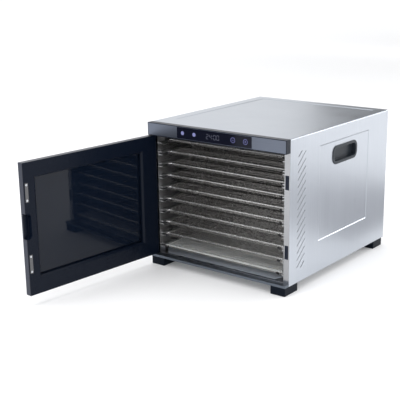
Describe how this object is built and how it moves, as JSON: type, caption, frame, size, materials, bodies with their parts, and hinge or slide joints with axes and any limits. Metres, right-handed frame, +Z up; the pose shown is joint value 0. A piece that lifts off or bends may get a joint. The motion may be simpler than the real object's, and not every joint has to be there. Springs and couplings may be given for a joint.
{
  "type": "food dehydrator",
  "caption": "Cabinet food dehydrator: brushed steel case, side-hung glass door, sliding wire trays over a drip tray, touch control strip, and a fan and ring heater behind an air baffle.",
  "frame": {"origin": "centre of the base pan's underside, 20 mm above the surface that the feet stand on", "axes": "+X to the user's right as they face the door, +Y to the back of the cabinet, +Z up; the door hangs on the -X side and is stored open at 95 degrees"},
  "size_m": [0.426, 0.8448, 0.355],
  "materials": {
    "brushed_steel_case": "brushed satin",
    "galvanised_sheet": "plain zinc coat",
    "liner_steel": "satin",
    "polished_strip": "bright",
    "housing_plastic": "fine satin",
    "dark_fascia": "brushed, dark",
    "black_glass": "polished",
    "display_plastic": "matte",
    "pad_plastic": "matte",
    "circuit_board": "solder mask",
    "wire_insulation": "satin",
    "probe_steel": "bright",
    "cutout_plastic": "satin",
    "foot_rubber": "satin",
    "screw_steel": "zinc",
    "hinge_steel": "plain",
    "motor_paint": "satin",
    "heater_sheath": "heat-tinted",
    "fan_aluminium": "plain",
    "door_plastic": "satin",
    "door_glass": "tinted",
    "door_steel": "brushed",
    "gasket_silicone": "matte",
    "bush_nylon": "satin",
    "tray_wire": "bright",
    "mesh_plastic": "matte",
    "drip_sheet": "satin"
  },
  "bodies": {
    "cabinet": {"outer_wrapper": "brushed_steel_case", "base_pan": "galvanised_sheet", "rear_cover": "galvanised_sheet", "liner_left": "liner_steel", "liner_right": "liner_steel", "liner_top": "liner_steel", "liner_floor": "liner_steel", "air_baffle": "liner_steel", "jamb_left": "polished_strip", "jamb_right": "polished_strip", "front_sill": "brushed_steel_case", "control_housing": "housing_plastic", "control_fascia": "dark_fascia", "control_glass": "black_glass", "display_module": "display_plastic", "touch_pads": "pad_plastic", "control_board": "circuit_board", "power_board": "circuit_board", "wiring_loom": "wire_insulation", "temperature_probe": "probe_steel", "thermal_cutout": "cutout_plastic", "side_handle_left": "housing_plastic", "side_handle_right": "housing_plastic", "foot_front_left": "foot_rubber", "foot_front_right": "foot_rubber", "foot_rear_left": "foot_rubber", "foot_rear_right": "foot_rubber", "foot_screws": "screw_steel", "rear_screws": "screw_steel", "magnet_catches": "cutout_plastic", "hinge_plates": "hinge_steel", "hinge_pins": "screw_steel", "fan_motor": "motor_paint", "motor_bracket": "galvanised_sheet", "heater_element": "heater_sheath", "heater_clips": "galvanised_sheet", "cord_gland": "cutout_plastic"},
    "fan": {"fan_rotor": "fan_aluminium", "fan_shaft": "screw_steel"},
    "door": {"door_frame": "door_plastic", "door_glass": "door_glass", "door_skin": "door_steel", "glass_gasket": "gasket_silicone", "strike_plates": "screw_steel", "strike_screws": "screw_steel", "hinge_bushes": "bush_nylon"},
    "tray_01": {"tray_01": "tray_wire"},
    "tray_02": {"tray_02": "tray_wire"},
    "tray_03": {"tray_03": "tray_wire"},
    "tray_04": {"tray_04": "tray_wire"},
    "tray_05": {"tray_05": "tray_wire"},
    "tray_06": {"tray_06": "tray_wire"},
    "tray_07": {"tray_07": "tray_wire"},
    "tray_08": {"tray_08": "tray_wire"},
    "tray_09": {"tray_09": "tray_wire"},
    "tray_10": {"tray_10": "tray_wire", "mesh_sheet": "mesh_plastic"},
    "drip_tray": {"drip_tray": "drip_sheet"}
  },
  "joints": [
    {"name": "door_hinge", "type": "hinge", "parent": "cabinet", "child": "door", "pos_m": [-0.188, -0.2346, 0.155], "axis": [0, 0, -1], "range_deg": [-95, 80]},
    {"name": "tray_01_slide", "type": "slide", "parent": "cabinet", "child": "tray_01", "axis": [0, -1, 0], "range_m": [-0.0032, 0.3216]},
    {"name": "tray_02_slide", "type": "slide", "parent": "cabinet", "child": "tray_02", "axis": [0, -1, 0], "range_m": [-0.0056, 0.3192]},
    {"name": "tray_03_slide", "type": "slide", "parent": "cabinet", "child": "tray_03", "axis": [0, -1, 0], "range_m": [-0.008, 0.3168]},
    {"name": "tray_04_slide", "type": "slide", "parent": "cabinet", "child": "tray_04", "axis": [0, -1, 0], "range_m": [-0.0104, 0.3144]},
    {"name": "tray_05_slide", "type": "slide", "parent": "cabinet", "child": "tray_05", "axis": [0, -1, 0], "range_m": [-0.0128, 0.312]},
    {"name": "tray_06_slide", "type": "slide", "parent": "cabinet", "child": "tray_06", "axis": [0, -1, 0], "range_m": [-0.0152, 0.3096]},
    {"name": "tray_07_slide", "type": "slide", "parent": "cabinet", "child": "tray_07", "axis": [0, -1, 0], "range_m": [-0.0176, 0.3072]},
    {"name": "tray_08_slide", "type": "slide", "parent": "cabinet", "child": "tray_08", "axis": [0, -1, 0], "range_m": [-0.02, 0.3048]},
    {"name": "tray_09_slide", "type": "slide", "parent": "cabinet", "child": "tray_09", "axis": [0, -1, 0], "range_m": [-0.0224, 0.3024]},
    {"name": "tray_10_slide", "type": "slide", "parent": "cabinet", "child": "tray_10", "axis": [0, -1, 0], "range_m": [-0.0248, 0.3]},
    {"name": "drip_tray_slide", "type": "slide", "parent": "cabinet", "child": "drip_tray", "axis": [0, -1, 0], "range_m": [-0.0248, 0.3]},
    {"name": "fan_spin", "type": "hinge", "parent": "cabinet", "child": "fan", "pos_m": [0, 0.16, 0.1555], "axis": [0, 1, 0], "continuous": true}
  ]
}
